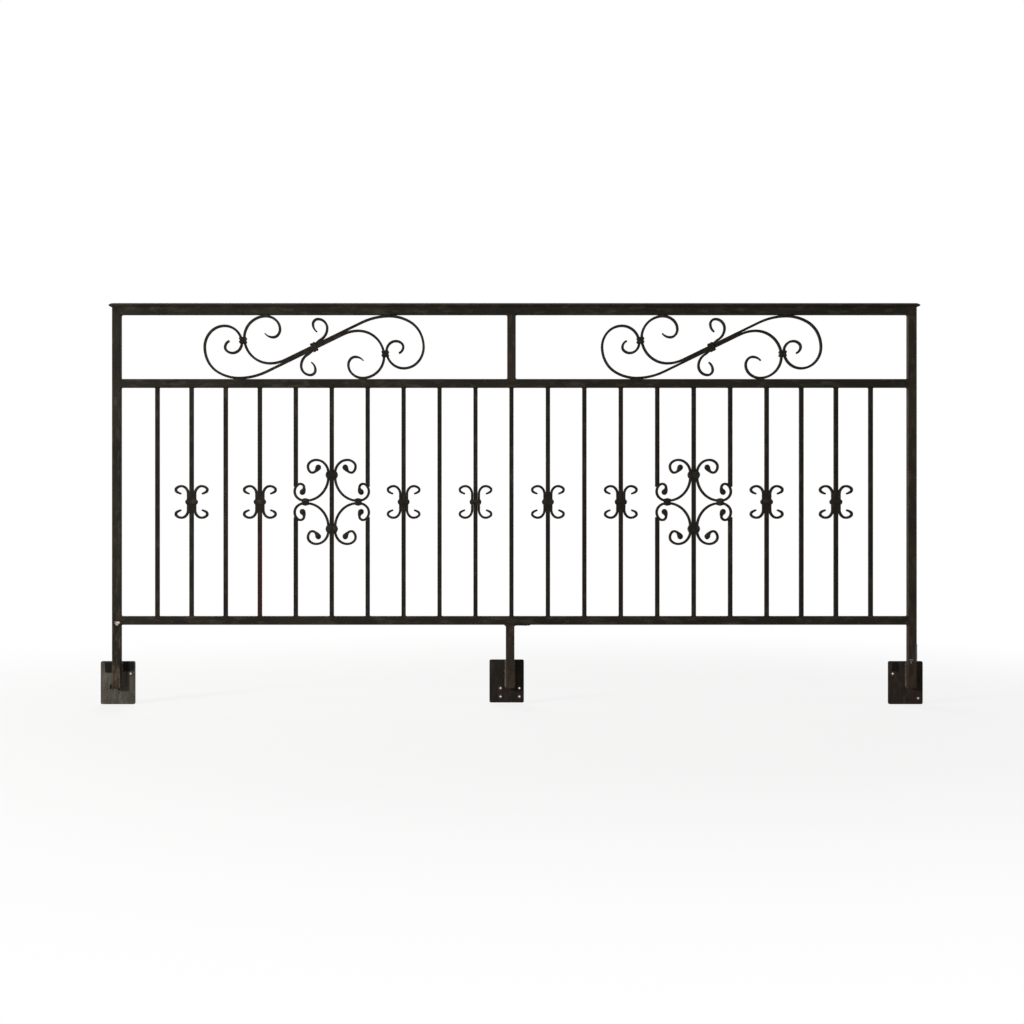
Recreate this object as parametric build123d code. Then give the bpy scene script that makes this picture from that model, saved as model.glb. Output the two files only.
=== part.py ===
from build123d import *
import math
import os

# Wrought iron balustrade panel: a square-tube frame on three fixing plates, square-bar balusters
# dressed with forged scrolls and collars, and a frieze of paired S-scrolls under the handrail.
# Millimetres. X runs along the panel, Y points back to the edge it is bolted to, Z is up.
# The origin lies on the back face of the centre plate, below the middle of the frame.

# Frame of square tube
FRAME_WIDTH = 2420.0
TUBE_SIDE = 25.4
TUBE_WALL = 2.0
TUBE_CORNER = 1.8
LEG_LENGTH = 106.5
LEG_SEAT = 84.0
BALUSTER_LENGTH = 688.5
FRIEZE_HEIGHT = 194.0

# The divider, the middle baluster and the centre leg stand a little off the middle of the frame
CENTRE_SHIFT = -8.5
CENTRE_LEG_SHIFT = -12.5

# Crowned handrail bar
CAP_WIDTH = 38.1
CAP_HEIGHT = 10.0
CAP_EDGE = 4.0
CAP_OVERHANG = 8.5

# Fixing plates: the centre and right ones off the lines of their legs, and the end ones lower down
PLATE_WIDTH = 104.0
PLATE_HEIGHT = 130.0
PLATE_THICKNESS = 6.35
PLATE_CORNER = 5.0
CENTRE_PLATE_SHIFT = -10.0
RIGHT_PLATE_SHIFT = -14.5
END_PLATE_DROP = 5.0

# Bolt holes, set in from the edges of the plates
HOLE_DIAMETER = 8.0
HOLE_SIDE_EDGE = 13.5
HOLE_HEAD_EDGE = 38.0
HOLE_FOOT_EDGE = 18.0
HOLE_ROW_PITCH = 25.5

# Square-bar balusters: the outer and end spaces are shares of the inner spacing
BALUSTER_SIDE = 12.7
INNER_SPACES = 7
OUTER_SPACES = 3
OUTER_SPACE_SHARE = 0.95
END_SPACE_SHARE = 1.01

# Flat bar of the scrolls, and how closely forged pieces are fitted
BAR_THICKNESS = 7.2
BAR_WIDTH = 12.7
FIT_GAP = 0.25

# Collars
COLLAR_WALL = 1.6
COLLAR_RIDGE = 2.55
BUNDLE_COLLAR_RIDGE = 1.8
BALUSTER_COLLAR_LENGTH = 14.5
ROSETTE_COLLAR_LENGTH = 18.5
SIDE_COLLAR_LENGTH = 20.0
FRIEZE_COLLAR_LENGTH = 20.0
BUNDLE_COLLAR_LENGTH = 16.5
SINGLE_RIDGE = 1
DOUBLE_RIDGE = 2

# Frieze scrolls: bends as shares of the frieze height, with the angle each one turns through
FRIEZE_SLOPE = 26.0
LARGE_SWEEP_SHARE = 0.984
LARGE_END_SHARES = ((0.63, 30), (0.42, 35), (0.5, 25), (0.342, 45), (0.295, 45))
LARGE_EYE_SHARES = ((0.161, 45), (0.14, 45), (0.13, 45), (0.073, 45), (0.104, 70))
SMALL_SWEEP_SHARE = 0.539
SMALL_FALL_SHARE = 0.399
SMALL_BASE_SHARE = 0.334
SMALL_EYE_SHARES = ((0.233, 45), (0.192, 45), (0.135, 45), (0.098, 45), (0.161, 52))
TENDRIL_STRAIGHT_SHARE = 0.124
TENDRIL_SHARES = ((0.207, 64), (0.1425, 90), (0.079, 90), (0.145, 56))
TENDRIL_FOOT_SHARE = 0.4
LARGE_TIP_SHARE = 0.85
SMALL_TIP_SHARE = 0.45
TENDRIL_TIP_SHARE = 0.6

# Baluster scrolls: bends as shares of the scroll height
BALUSTER_SCROLL_HEIGHT = 102.4
SCROLL_BEND_SHARES = ((0.254, 45), (0.176, 45), (0.207, 45), (0.062, 45), (0.082, 58), (0.44, 17))
SCROLL_TIP_SHARE = 0.7

# Rosette scrolls: bends as shares of the spacing of the balusters that they fill
COLLAR_RUN_SHARE = 0.055
UPPER_CURL_SHARES = (
    (0.376, 45), (0.321, 45), (0.257, 45), (0.156, 45), (0.2, 45), (0.083, 45), (0.128, 40), (0.3, 25)
)
LOWER_SWEEP_SHARES = ((0.68, 45), (0.6, 45))
SIDE_BASE_SHARES = ((0.3, 45), (0.235, 45))
SIDE_SHOULDER_SHARE = 0.247
SIDE_CURL_SHARES = ((0.124, 45), (0.101, 90), (0.2, 35))
KNOB_WIDTH_SHARE = 0.15
COPED_END_SHARE = 0.5

# Levels and lines worked out from the sizes above
MID_Y = -(PLATE_THICKNESS + TUBE_SIDE / 2)
PLATE_TOP = PLATE_HEIGHT / 2
LEG_FOOT_Z = PLATE_TOP - LEG_SEAT
BOTTOM_RAIL_Z = PLATE_TOP + LEG_LENGTH
BALUSTER_FOOT_Z = BOTTOM_RAIL_Z + TUBE_SIDE
MIDDLE_RAIL_Z = BALUSTER_FOOT_Z + BALUSTER_LENGTH
FRIEZE_FOOT_Z = MIDDLE_RAIL_Z + TUBE_SIDE
TOP_RAIL_Z = FRIEZE_FOOT_Z + FRIEZE_HEIGHT
CAP_Z = TOP_RAIL_Z + TUBE_SIDE
ORNAMENT_Z = BALUSTER_FOOT_Z + BALUSTER_LENGTH / 2
FRIEZE_MID_Z = FRIEZE_FOOT_Z + FRIEZE_HEIGHT / 2
POST_X = (FRAME_WIDTH - TUBE_SIDE) / 2
HALF_CLEAR = FRAME_WIDTH / 2 - TUBE_SIDE
SPACES = INNER_SPACES + OUTER_SPACES * OUTER_SPACE_SHARE + END_SPACE_SHARE
INNER_PITCH = HALF_CLEAR / SPACES

# Balusters are numbered from the left
CENTRE_NUMBER = INNER_SPACES + OUTER_SPACES + 1
SCROLL_NUMBERS = (2, 4, 8, 10)
ROSETTE_NUMBER = 6

# Bars lying side by side, and the room that forged pieces take
BAR_STEP = BAR_THICKNESS + FIT_GAP
BAR_SEAT_X = -(BALUSTER_SIDE + BAR_THICKNESS) / 2 - FIT_GAP
CLASP_WIDTH = BALUSTER_SIDE + 2 * BAR_STEP + 2 * FIT_GAP
CLASP_DEPTH = max(BAR_WIDTH, BALUSTER_SIDE) + 2 * FIT_GAP
TIE_DEPTH = BAR_WIDTH + 2 * FIT_GAP
FOOT_INNER = 3 / 2 * BAR_STEP - BAR_THICKNESS / 2
FOOT_OUTER = FOOT_INNER + TENDRIL_FOOT_SHARE * BAR_THICKNESS
RAIL_REACH = (FRIEZE_HEIGHT - BAR_THICKNESS) / 2 - FIT_GAP
SLOPE_SIN = math.sin(math.radians(FRIEZE_SLOPE))
SLOPE_COS = math.cos(math.radians(FRIEZE_SLOPE))
SIN_45 = math.sin(math.radians(45))


def baluster_x(number):
    """Place of a baluster along the panel, each half being spaced out from the middle baluster."""
    steps = abs(number - CENTRE_NUMBER)
    inner = min(steps, INNER_SPACES)
    spaces = inner + (steps - inner) * OUTER_SPACE_SHARE
    side = math.copysign(1, number - CENTRE_NUMBER)
    return CENTRE_SHIFT + spaces * (side * HALF_CLEAR - CENTRE_SHIFT) / SPACES


def bay_x(side):
    """Middle of a bay of the frieze, between the divider and an end post."""
    return (CENTRE_SHIFT + side * (TUBE_SIDE / 2 + HALF_CLEAR)) / 2


def with_mirrors(numbers):
    """Baluster numbers with those as far from the middle one on the other side."""
    return [*numbers, *(2 * CENTRE_NUMBER - number for number in numbers)]


def tube(length):
    """Square tube standing on the origin."""
    bore = TUBE_SIDE - 2 * TUBE_WALL
    section = RectangleRounded(TUBE_SIDE, TUBE_SIDE, TUBE_CORNER) - Rectangle(bore, bore)
    return extrude(section, amount=length)


def upright(x, z, length):
    """Tube standing in the plane of the panel."""
    return Pos(x, MID_Y, z) * tube(length)


def rail(z):
    """Tube lying between the end posts, with its underside at a level."""
    return Pos(-HALF_CLEAR, MID_Y, z + TUBE_SIDE / 2) * Rot(0, 90, 0) * tube(2 * HALF_CLEAR)


def handrail_cap():
    """Crowned bar with sloping ends that lies over the top rail and the posts."""
    half_length = FRAME_WIDTH / 2 + CAP_OVERHANG
    half_width = CAP_WIDTH / 2
    crown = [
        Polyline((-half_width, CAP_EDGE), (-half_width, 0), (half_width, 0), (half_width, CAP_EDGE)),
        ThreePointArc((half_width, CAP_EDGE), (0, CAP_HEIGHT), (-half_width, CAP_EDGE)),
    ]
    flank = Polyline(
        (-half_length, 0),
        (half_length, 0),
        (half_length, CAP_EDGE),
        (half_length - CAP_OVERHANG, CAP_HEIGHT),
        (CAP_OVERHANG - half_length, CAP_HEIGHT),
        (-half_length, CAP_EDGE),
        close=True,
    )
    bar = extrude(Plane.YZ * make_face(crown), amount=half_length, both=True)
    trim = extrude(Plane.XZ * make_face(flank), amount=CAP_WIDTH, both=True)
    return Pos(0, MID_Y, CAP_Z) * (bar & trim)


def plate(x, drop, holes):
    """Fixing plate on the back plane, with holes given from its own middle."""
    face = RectangleRounded(PLATE_WIDTH, PLATE_HEIGHT, PLATE_CORNER)
    for hole_x, hole_z in holes:
        face -= Pos(hole_x, hole_z) * Circle(HOLE_DIAMETER / 2)
    return Pos(x, 0, -drop) * extrude(Plane.XZ * face, amount=PLATE_THICKNESS)


# Places of the holes from the middle of a plate
SIDE_HOLE_X = PLATE_WIDTH / 2 - HOLE_SIDE_EDGE
HEAD_HOLE_Z = PLATE_HEIGHT / 2 - HOLE_HEAD_EDGE
FOOT_HOLE_Z = HOLE_FOOT_EDGE - PLATE_HEIGHT / 2
ROW_HOLE_Z = FOOT_HOLE_Z + HOLE_ROW_PITCH


def end_holes(side):
    """Diagonal pair of holes in an end plate, the upper one on the given side."""
    return [(side * SIDE_HOLE_X, HEAD_HOLE_Z), (-side * SIDE_HOLE_X, FOOT_HOLE_Z)]


def centre_holes():
    """Two rows of holes at the foot of the centre plate, evenly about its leg."""
    columns = (SIDE_HOLE_X, -2 * CENTRE_PLATE_SHIFT - SIDE_HOLE_X)
    return [(x, z) for x in columns for z in (FOOT_HOLE_Z, ROW_HOLE_Z)]


def baluster(number, low, high):
    """Square bar between two levels."""
    bar = extrude(Rectangle(BALUSTER_SIDE, BALUSTER_SIDE), amount=high - low)
    return Pos(baluster_x(number), MID_Y, low) * bar


def scaled(shares, size):
    """Bends as radius and angle, from shares of a size."""
    return [(share * size, sweep) for share, sweep in shares]


def turned(bends):
    """The same bends turning the other way."""
    return [(radius, -sweep) for radius, sweep in bends]


def quarter_turn(first, second):
    """How far two bends of 45 degrees carry a bar ahead and aside."""
    ahead = SIN_45 * first[0] + (1 - SIN_45) * second[0]
    aside = (1 - SIN_45) * first[0] + SIN_45 * second[0]
    return ahead, aside


def move(point, heading, distance):
    """Point at a distance along a heading."""
    angle = math.radians(heading)
    return (point[0] + distance * math.cos(angle), point[1] + distance * math.sin(angle))


def run(point, heading, straight, bends):
    """Sections of a bar's centre line: a straight, then bends, each with start, middle and end."""
    end = move(point, heading, straight)
    sections = [((point, heading), None, (end, heading))]
    for radius, sweep in bends:
        inward = math.copysign(90, sweep)
        start, first = sections[-1][2]
        centre = move(start, first + inward, radius)
        places = [
            (move(centre, first - inward + angle, radius), first + angle)
            for angle in (0, sweep / 2, sweep)
        ]
        sections.append(tuple(places))
    return sections


def side_edges(sections, half, tip_half, side):
    """Edges along one side of a bar, whose last section narrows or swells to the tip."""
    edges = []
    for section in sections:
        start, middle, end = section
        half_end = tip_half if section is sections[-1] else half
        first = move(start[0], start[1] + 90, side * half)
        last = move(end[0], end[1] + 90, side * half_end)
        if middle is None:
            edges.append(Line(first, last))
        else:
            half_middle = (half + half_end) / 2
            crest = move(middle[0], middle[1] + 90, side * half_middle)
            edges.append(ThreePointArc(first, crest, last))
    return edges


def arm_edges(sections, half, tip_half):
    """Both sides of an arm and its tip, which is cut square or, where it swells, round."""
    left = side_edges(sections, half, tip_half, 1)
    right = side_edges(sections, half, tip_half, -1)
    tip = [left[-1] @ 1, right[-1] @ 1]
    if tip_half > half:
        end, heading = sections[-1][2]
        tip.insert(1, move(end, heading, tip_half))
        return [*left, ThreePointArc(*tip), *right]
    return [*left, Line(*tip), *right]


def forged_bar(arms, tip_widths, grow=0):
    """Flat bar bent on edge in the plane of the panel, from one arm or from two that meet."""
    half = BAR_THICKNESS / 2 + grow
    edges = []
    for sections, tip_width in zip(arms, tip_widths):
        edges += arm_edges(sections, half, tip_width / 2 + grow)
    if len(arms) == 1:
        start, heading = arms[0][0][0]
        edges.append(Line(move(start, heading + 90, half), move(start, heading - 90, half)))
    return extrude(Plane.XZ * make_face(edges), amount=BAR_WIDTH / 2 + grow, both=True)


def ridged_collar(length, width, depth, ridges, ridge):
    """Collar standing along Z about the origin, with sharp ridges round a bundle of bars."""
    step = length / (2 * ridges)
    profiles = []
    for index in range(2 * ridges + 1):
        wall = COLLAR_WALL + ridge * (index % 2)
        outline = Rectangle(width + 2 * wall, depth + 2 * wall)
        profiles.append(Pos(0, 0, index * step - length / 2) * outline)
    return loft(profiles, ruled=True)


def beside(along, off):
    """Point along and off the sloping centre line of the frieze."""
    return move(move((0, 0), FRIEZE_SLOPE, along), FRIEZE_SLOPE + 90, off)


def s_scroll(grow=0):
    """Lower S-scroll, which rests on the middle rail twice, and the place of its tie at the left.

    The straights follow from the rests. The neck follows from the gap to the turned copy at the tie.
    """
    start = beside(0, -BAR_STEP / 2)
    large_sweep = LARGE_SWEEP_SHARE * FRIEZE_HEIGHT
    small_sweep = SMALL_SWEEP_SHARE * FRIEZE_HEIGHT
    fall = SMALL_FALL_SHARE * FRIEZE_HEIGHT
    base = SMALL_BASE_SHARE * FRIEZE_HEIGHT
    large_straight = (RAIL_REACH + start[1] - (1 - SLOPE_COS) * large_sweep) / SLOPE_SIN
    crest = fall + base - RAIL_REACH
    small_straight = (crest - start[1] - (1 - SLOPE_COS) * small_sweep) / SLOPE_SIN

    small = [(small_sweep, FRIEZE_SLOPE), (fall, 90), (base, 90)]
    small += scaled(SMALL_EYE_SHARES, FRIEZE_HEIGHT)
    small_arm = run(start, FRIEZE_SLOPE, small_straight, turned(small))
    far = small_arm[2][2][0]

    large = [(large_sweep, FRIEZE_SLOPE)] + scaled(LARGE_END_SHARES, FRIEZE_HEIGHT)
    crown = run(start, FRIEZE_SLOPE + 180, large_straight, turned(large))[-1][2][0]
    neck = -far[0] - BAR_STEP - crown[0]
    large += [(neck, 90)] + scaled(LARGE_EYE_SHARES, FRIEZE_HEIGHT)
    large_arm = run(start, FRIEZE_SLOPE + 180, large_straight, turned(large))
    tie = (-far[0] - BAR_STEP / 2, (crown[1] - neck - far[1]) / 2)
    tips = [SMALL_TIP_SHARE * BAR_THICKNESS, LARGE_TIP_SHARE * BAR_THICKNESS]
    return forged_bar([small_arm, large_arm], tips, grow), tie


def tendril():
    """Small scroll that springs from the middle collar along the upper side of the bundle.

    Its foot is drawn out thin, so that the collar closes over it.
    """
    seat = BUNDLE_COLLAR_LENGTH / 2
    spring = TENDRIL_STRAIGHT_SHARE * FRIEZE_HEIGHT
    outer = FOOT_INNER + BAR_THICKNESS
    start = beside(-seat, FOOT_INNER + BAR_THICKNESS / 2)
    arm = run(start, FRIEZE_SLOPE, seat + spring, scaled(TENDRIL_SHARES, FRIEZE_HEIGHT))
    back = -2 * seat
    thinned = Polyline(
        beside(back, FOOT_OUTER),
        beside(seat, FOOT_OUTER),
        beside(spring, outer),
        beside(back, 2 * outer),
        close=True,
    )
    scarf = extrude(Plane.XZ * make_face(thinned), amount=BAR_WIDTH, both=True)
    return forged_bar([arm], [TENDRIL_TIP_SHARE * BAR_THICKNESS]) - scarf


def frieze_collars():
    """Collar round the bundle in the middle of a frieze unit, and one at each tie."""
    bundle = 2 * (FOOT_OUTER + FIT_GAP)
    middle = ridged_collar(BUNDLE_COLLAR_LENGTH, bundle, TIE_DEPTH, DOUBLE_RIDGE, BUNDLE_COLLAR_RIDGE)
    middle -= Box(bundle, TIE_DEPTH, BUNDLE_COLLAR_LENGTH)
    room, tie = s_scroll(grow=FIT_GAP)
    pair = 2 * BAR_STEP + FIT_GAP
    end = ridged_collar(FRIEZE_COLLAR_LENGTH, pair, TIE_DEPTH, DOUBLE_RIDGE, COLLAR_RIDGE)
    end -= Box(BAR_STEP, TIE_DEPTH, FRIEZE_COLLAR_LENGTH)
    end = Pos(tie[0], 0, tie[1]) * end - room - HALF_TURN * room
    return [Rot(0, 90 - FRIEZE_SLOPE, 0) * middle, end, HALF_TURN * end]


def c_scroll():
    """Scroll on the left of a baluster, about the middle of its collar."""
    bends = scaled(SCROLL_BEND_SHARES, BALUSTER_SCROLL_HEIGHT)
    rise, _ = quarter_turn(*bends[:2])
    straight = (BALUSTER_SCROLL_HEIGHT - BAR_THICKNESS) / 2 - rise
    upper = run((BAR_SEAT_X, 0), 90, straight, bends)
    lower = run((BAR_SEAT_X, 0), 270, straight, turned(bends))
    return forged_bar([upper, lower], 2 * [SCROLL_TIP_SHARE * BAR_THICKNESS])


def baluster_collar():
    """Ridged collar that clasps a baluster between its two scrolls."""
    collar = ridged_collar(BALUSTER_COLLAR_LENGTH, CLASP_WIDTH, CLASP_DEPTH, SINGLE_RIDGE, COLLAR_RIDGE)
    return collar - Box(CLASP_WIDTH, CLASP_DEPTH, BALUSTER_COLLAR_LENGTH)


# Rosette, about its own middle: the side curls line up with the balusters that stop there
SWEEP_AHEAD, SWEEP_ASIDE = quarter_turn(*scaled(LOWER_SWEEP_SHARES, INNER_PITCH))
BASE_AHEAD, BASE_ASIDE = quarter_turn(*scaled(SIDE_BASE_SHARES, INNER_PITCH))
COLLAR_RUN = COLLAR_RUN_SHARE * INNER_PITCH
CLASP_Z = BAR_STEP / 2 + SWEEP_AHEAD + COLLAR_RUN
SWEEP_X = BAR_SEAT_X - SWEEP_ASIDE
CURL_X = -INNER_PITCH - (BALUSTER_SIDE - BAR_THICKNESS) / 2
CURL_Z = BAR_STEP / 2 + BASE_ASIDE
SIDE_RUN = SWEEP_X - BASE_AHEAD - CURL_X
SHOULDER_RADIUS = SIDE_SHOULDER_SHARE * INNER_PITCH


def rosette_quarter(grow=0):
    """Upper left scroll of a rosette, from the clasp up to one knob and down to the other."""
    start = (BAR_SEAT_X, CLASP_Z)
    upper = run(start, 90, COLLAR_RUN, scaled(UPPER_CURL_SHARES, INNER_PITCH))
    lower = run(start, 270, COLLAR_RUN, turned(scaled(LOWER_SWEEP_SHARES, INNER_PITCH)))
    side = scaled(SIDE_BASE_SHARES, INNER_PITCH) + [(SHOULDER_RADIUS, 45)]
    side += scaled(SIDE_CURL_SHARES, INNER_PITCH)
    lower += run(lower[-1][2][0], 180, SIDE_RUN, turned(side))
    return forged_bar([upper, lower], 2 * [KNOB_WIDTH_SHARE * INNER_PITCH], grow)


def quarters(solid):
    """A solid and its mirror images across both centre lines."""
    pair = [solid, mirror(solid, about=Plane.YZ)]
    return pair + [mirror(copy, about=Plane.XY) for copy in pair]


def rosette_collars():
    """Clasps on the middle baluster and collars between the upper and lower scrolls."""
    clasp = ridged_collar(ROSETTE_COLLAR_LENGTH, CLASP_WIDTH, CLASP_DEPTH, SINGLE_RIDGE, COLLAR_RIDGE)
    clasp -= Box(CLASP_WIDTH, CLASP_DEPTH, ROSETTE_COLLAR_LENGTH)
    clasp = Pos(0, 0, CLASP_Z) * clasp
    pair = 2 * BAR_STEP + FIT_GAP
    tie = ridged_collar(SIDE_COLLAR_LENGTH, pair, TIE_DEPTH, SINGLE_RIDGE, COLLAR_RIDGE)
    tie -= Box(BAR_STEP, TIE_DEPTH, SIDE_COLLAR_LENGTH)
    tie = Pos(SWEEP_X - SIDE_RUN / 2, 0, 0) * Rot(0, 90, 0) * tie
    for room in quarters(rosette_quarter(grow=FIT_GAP)):
        clasp -= room
        tie -= room
    return [clasp, mirror(clasp, about=Plane.XY), tie, mirror(tie, about=Plane.YZ)]


def split_baluster(number, side):
    """Baluster on one side of a rosette, in two lengths coped over the rosette's curls."""
    radius = SHOULDER_RADIUS + BAR_THICKNESS / 2 + FIT_GAP
    level = CURL_Z + COPED_END_SHARE * radius
    curl = extrude(Plane.XZ * Circle(radius), amount=BALUSTER_SIDE, both=True)
    curl_x = baluster_x(number - side) - side * (CURL_X + SHOULDER_RADIUS)
    upper = baluster(number, ORNAMENT_Z + level, MIDDLE_RAIL_Z)
    lower = baluster(number, BALUSTER_FOOT_Z, ORNAMENT_Z - level)
    return [
        upper - Pos(curl_x, MID_Y, ORNAMENT_Z + CURL_Z) * curl,
        lower - Pos(curl_x, MID_Y, ORNAMENT_Z - CURL_Z) * curl,
    ]


def placed(solids, places, z):
    """Copies of solids moved from their own middle to places in the plane of the panel."""
    return [Pos(x, MID_Y, z) * solid for x in places for solid in solids]


HALF_TURN = Rot(0, 180, 0)
nodes = {}

# Frame
nodes["handrail_cap"] = [handrail_cap()]
nodes["top_rail"] = [rail(TOP_RAIL_Z)]
nodes["middle_rail"] = [rail(MIDDLE_RAIL_Z)]
nodes["bottom_rail"] = [rail(BOTTOM_RAIL_Z)]
nodes["left_post"] = [upright(-POST_X, LEG_FOOT_Z, CAP_Z - LEG_FOOT_Z)]
nodes["right_post"] = [upright(POST_X, LEG_FOOT_Z, CAP_Z - LEG_FOOT_Z)]
nodes["frieze_divider"] = [upright(CENTRE_SHIFT, FRIEZE_FOOT_Z, FRIEZE_HEIGHT)]
nodes["centre_leg"] = [upright(CENTRE_LEG_SHIFT, LEG_FOOT_Z, BOTTOM_RAIL_Z - LEG_FOOT_Z)]

# Fixing plates, the left one with a spare hole
spare_hole = (-SIDE_HOLE_X, ROW_HOLE_Z)
nodes["left_plate"] = [plate(-POST_X, END_PLATE_DROP, [*end_holes(1), spare_hole])]
nodes["centre_plate"] = [plate(CENTRE_LEG_SHIFT + CENTRE_PLATE_SHIFT, 0, centre_holes())]
nodes["right_plate"] = [plate(POST_X + RIGHT_PLATE_SHIFT, END_PLATE_DROP, end_holes(-1))]

# Balusters, those beside each rosette in two lengths
for number in range(1, 2 * CENTRE_NUMBER):
    nodes[f"baluster_{number:02d}"] = [baluster(number, BALUSTER_FOOT_Z, MIDDLE_RAIL_Z)]
for number in with_mirrors([ROSETTE_NUMBER]):
    for side in (-1, 1):
        nodes[f"baluster_{number + side:02d}"] = split_baluster(number + side, side)

# Frieze, with both units sloping the same way
bays = [bay_x(side) for side in (-1, 1)]
scroll, _ = s_scroll()
sprig = tendril()
nodes["frieze_lower_scrolls"] = placed([scroll], bays, FRIEZE_MID_Z)
nodes["frieze_upper_scrolls"] = placed([HALF_TURN * scroll], bays, FRIEZE_MID_Z)
nodes["frieze_tendrils"] = placed([sprig, HALF_TURN * sprig], bays, FRIEZE_MID_Z)
nodes["frieze_collars"] = placed(frieze_collars(), bays, FRIEZE_MID_Z)

# Rosettes
rosettes = [baluster_x(number) for number in with_mirrors([ROSETTE_NUMBER])]
nodes["rosette_scrolls"] = placed(quarters(rosette_quarter()), rosettes, ORNAMENT_Z)
nodes["rosette_collars"] = placed(rosette_collars(), rosettes, ORNAMENT_Z)

# Paired scrolls on single balusters
dressed = [baluster_x(number) for number in with_mirrors(SCROLL_NUMBERS)]
left_scroll = c_scroll()
scroll_pair = [left_scroll, mirror(left_scroll, about=Plane.YZ)]
nodes["baluster_scrolls"] = placed(scroll_pair, dressed, ORNAMENT_Z)
nodes["baluster_collars"] = placed([baluster_collar()], dressed, ORNAMENT_Z)

os.makedirs("parts", exist_ok=True)
for name, pieces in nodes.items():
    solids = [solid for piece in pieces for solid in piece.solids()]
    export_step(Compound(children=solids), f"parts/{name}.step")
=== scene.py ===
"""Looks of a wrought iron railing: brushed paint, rubbed edges, rust, weld beads and forged knobs."""

import logging
import math
from dataclasses import dataclass, field
from enum import Enum

import bmesh
import bpy
from mathutils import Matrix, Vector, noise


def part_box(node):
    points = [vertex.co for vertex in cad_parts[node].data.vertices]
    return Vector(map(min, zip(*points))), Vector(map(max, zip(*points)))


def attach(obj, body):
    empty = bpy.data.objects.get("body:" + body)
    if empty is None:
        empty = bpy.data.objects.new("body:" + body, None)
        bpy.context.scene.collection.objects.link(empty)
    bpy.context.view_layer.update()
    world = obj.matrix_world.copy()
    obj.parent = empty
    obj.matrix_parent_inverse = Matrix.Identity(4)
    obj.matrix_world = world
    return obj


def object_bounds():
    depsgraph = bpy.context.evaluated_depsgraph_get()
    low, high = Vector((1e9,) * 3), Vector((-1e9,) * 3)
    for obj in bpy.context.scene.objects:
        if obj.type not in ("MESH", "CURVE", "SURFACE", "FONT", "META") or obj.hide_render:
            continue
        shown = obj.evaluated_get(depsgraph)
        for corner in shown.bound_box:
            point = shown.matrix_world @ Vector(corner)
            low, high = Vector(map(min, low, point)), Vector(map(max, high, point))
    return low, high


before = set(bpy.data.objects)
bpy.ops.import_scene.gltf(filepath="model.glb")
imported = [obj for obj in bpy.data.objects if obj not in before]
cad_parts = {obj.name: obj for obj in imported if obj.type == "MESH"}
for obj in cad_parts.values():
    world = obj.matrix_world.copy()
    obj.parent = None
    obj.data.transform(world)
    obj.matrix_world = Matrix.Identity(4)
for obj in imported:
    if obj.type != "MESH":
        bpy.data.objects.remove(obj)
CAD_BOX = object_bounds()

MM = 0.001
BODY = "root"
LOG = logging.getLogger("railing")
Y, Z = Vector((0, 1, 0)), Vector((0, 0, 1))

Tree, Socket, Material = bpy.types.NodeTree, bpy.types.NodeSocket, bpy.types.Material
Mesh = bmesh.types.BMesh

# Sockets of the colour mixing node, whose names repeat
MIX_FACTOR, MIX_A, MIX_B, MIX_COLOUR = 0, 6, 7, 2

# How a solid's faces are joined, and which of its edges are rounded
JOIN_GAP = 0.001 * MM
FLAT_ANGLE, EDGE_ANGLE = math.radians(0.8), math.radians(38)
EDGE_STEPS, NORMAL_WEIGHT = 2, 70

# Rounding error of a length, in metres
ROUNDING = 1e-9

# Reach along X and Y of weather that depends on height alone
ALL_ALONG = (9.0, 9.0)

# Unevenness of a thrown lump of weld, as a share of its size
LUMPY = 0.5


def linear(code: str) -> tuple[float, ...]:
    """Turn an sRGB hex colour into linear light.

    Args:
        code: Colour such as "#2b2823".

    Returns:
        Red, green, blue and a full alpha.
    """
    values = [int(code[start : start + 2], 16) / 255 for start in (1, 3, 5)]
    return (*(v / 12.92 if v <= 0.04045 else ((v + 0.055) / 1.055) ** 2.4 for v in values), 1.0)


def add_node(
    tree: Tree,
    kind: str,
    settings: dict[str | int, object] | None = None,
    links: dict[str | int, Socket] | None = None,
) -> bpy.types.Node:
    """Add a shader node with its settings and links.

    Args:
        tree: Node tree of a material or of the world.
        kind: Type of the node, without its common prefix.
        settings: Values by attribute, or by input socket where the key is a number or has a capital.
        links: Output sockets by the input socket that each one feeds.

    Returns:
        The new node.
    """
    node = tree.nodes.new("ShaderNode" + kind)
    for key, value in (settings or {}).items():
        if isinstance(key, str) and key[0].islower():
            setattr(node, key, value)
        else:
            node.inputs[key].default_value = value
    for key, source in (links or {}).items():
        tree.links.new(source, node.inputs[key])
    return node


def blank(name: str) -> tuple[Material, Tree]:
    """Start a material without nodes.

    Args:
        name: Its name.

    Returns:
        The material and its node tree.
    """
    material = bpy.data.materials.new(name)
    material.use_nodes = True
    material.node_tree.nodes.clear()
    return material, material.node_tree


class Stroke(Enum):
    """How the brush was drawn: how many strokes fit one stroke's length along X, Y and Z."""

    ALONG_RAIL = (0.05, 1.0, 1.0)
    ALONG_POST = (1.0, 1.0, 0.05)
    DABBED = (0.45, 0.45, 0.45)

    def scale(self, size_mm: float, pull: float) -> tuple[float, ...]:
        """Scale a pattern, drawn out from 0, not at all, to 1, as far as a brush stroke."""
        return tuple(share**pull / (size_mm * MM) for share in self.value)


class Form(Enum):
    """Outline of a spot of rust or of a dark patch: the share of its reach over which it is even."""

    ROUND = 0.0
    SQUARE = 0.6


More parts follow.
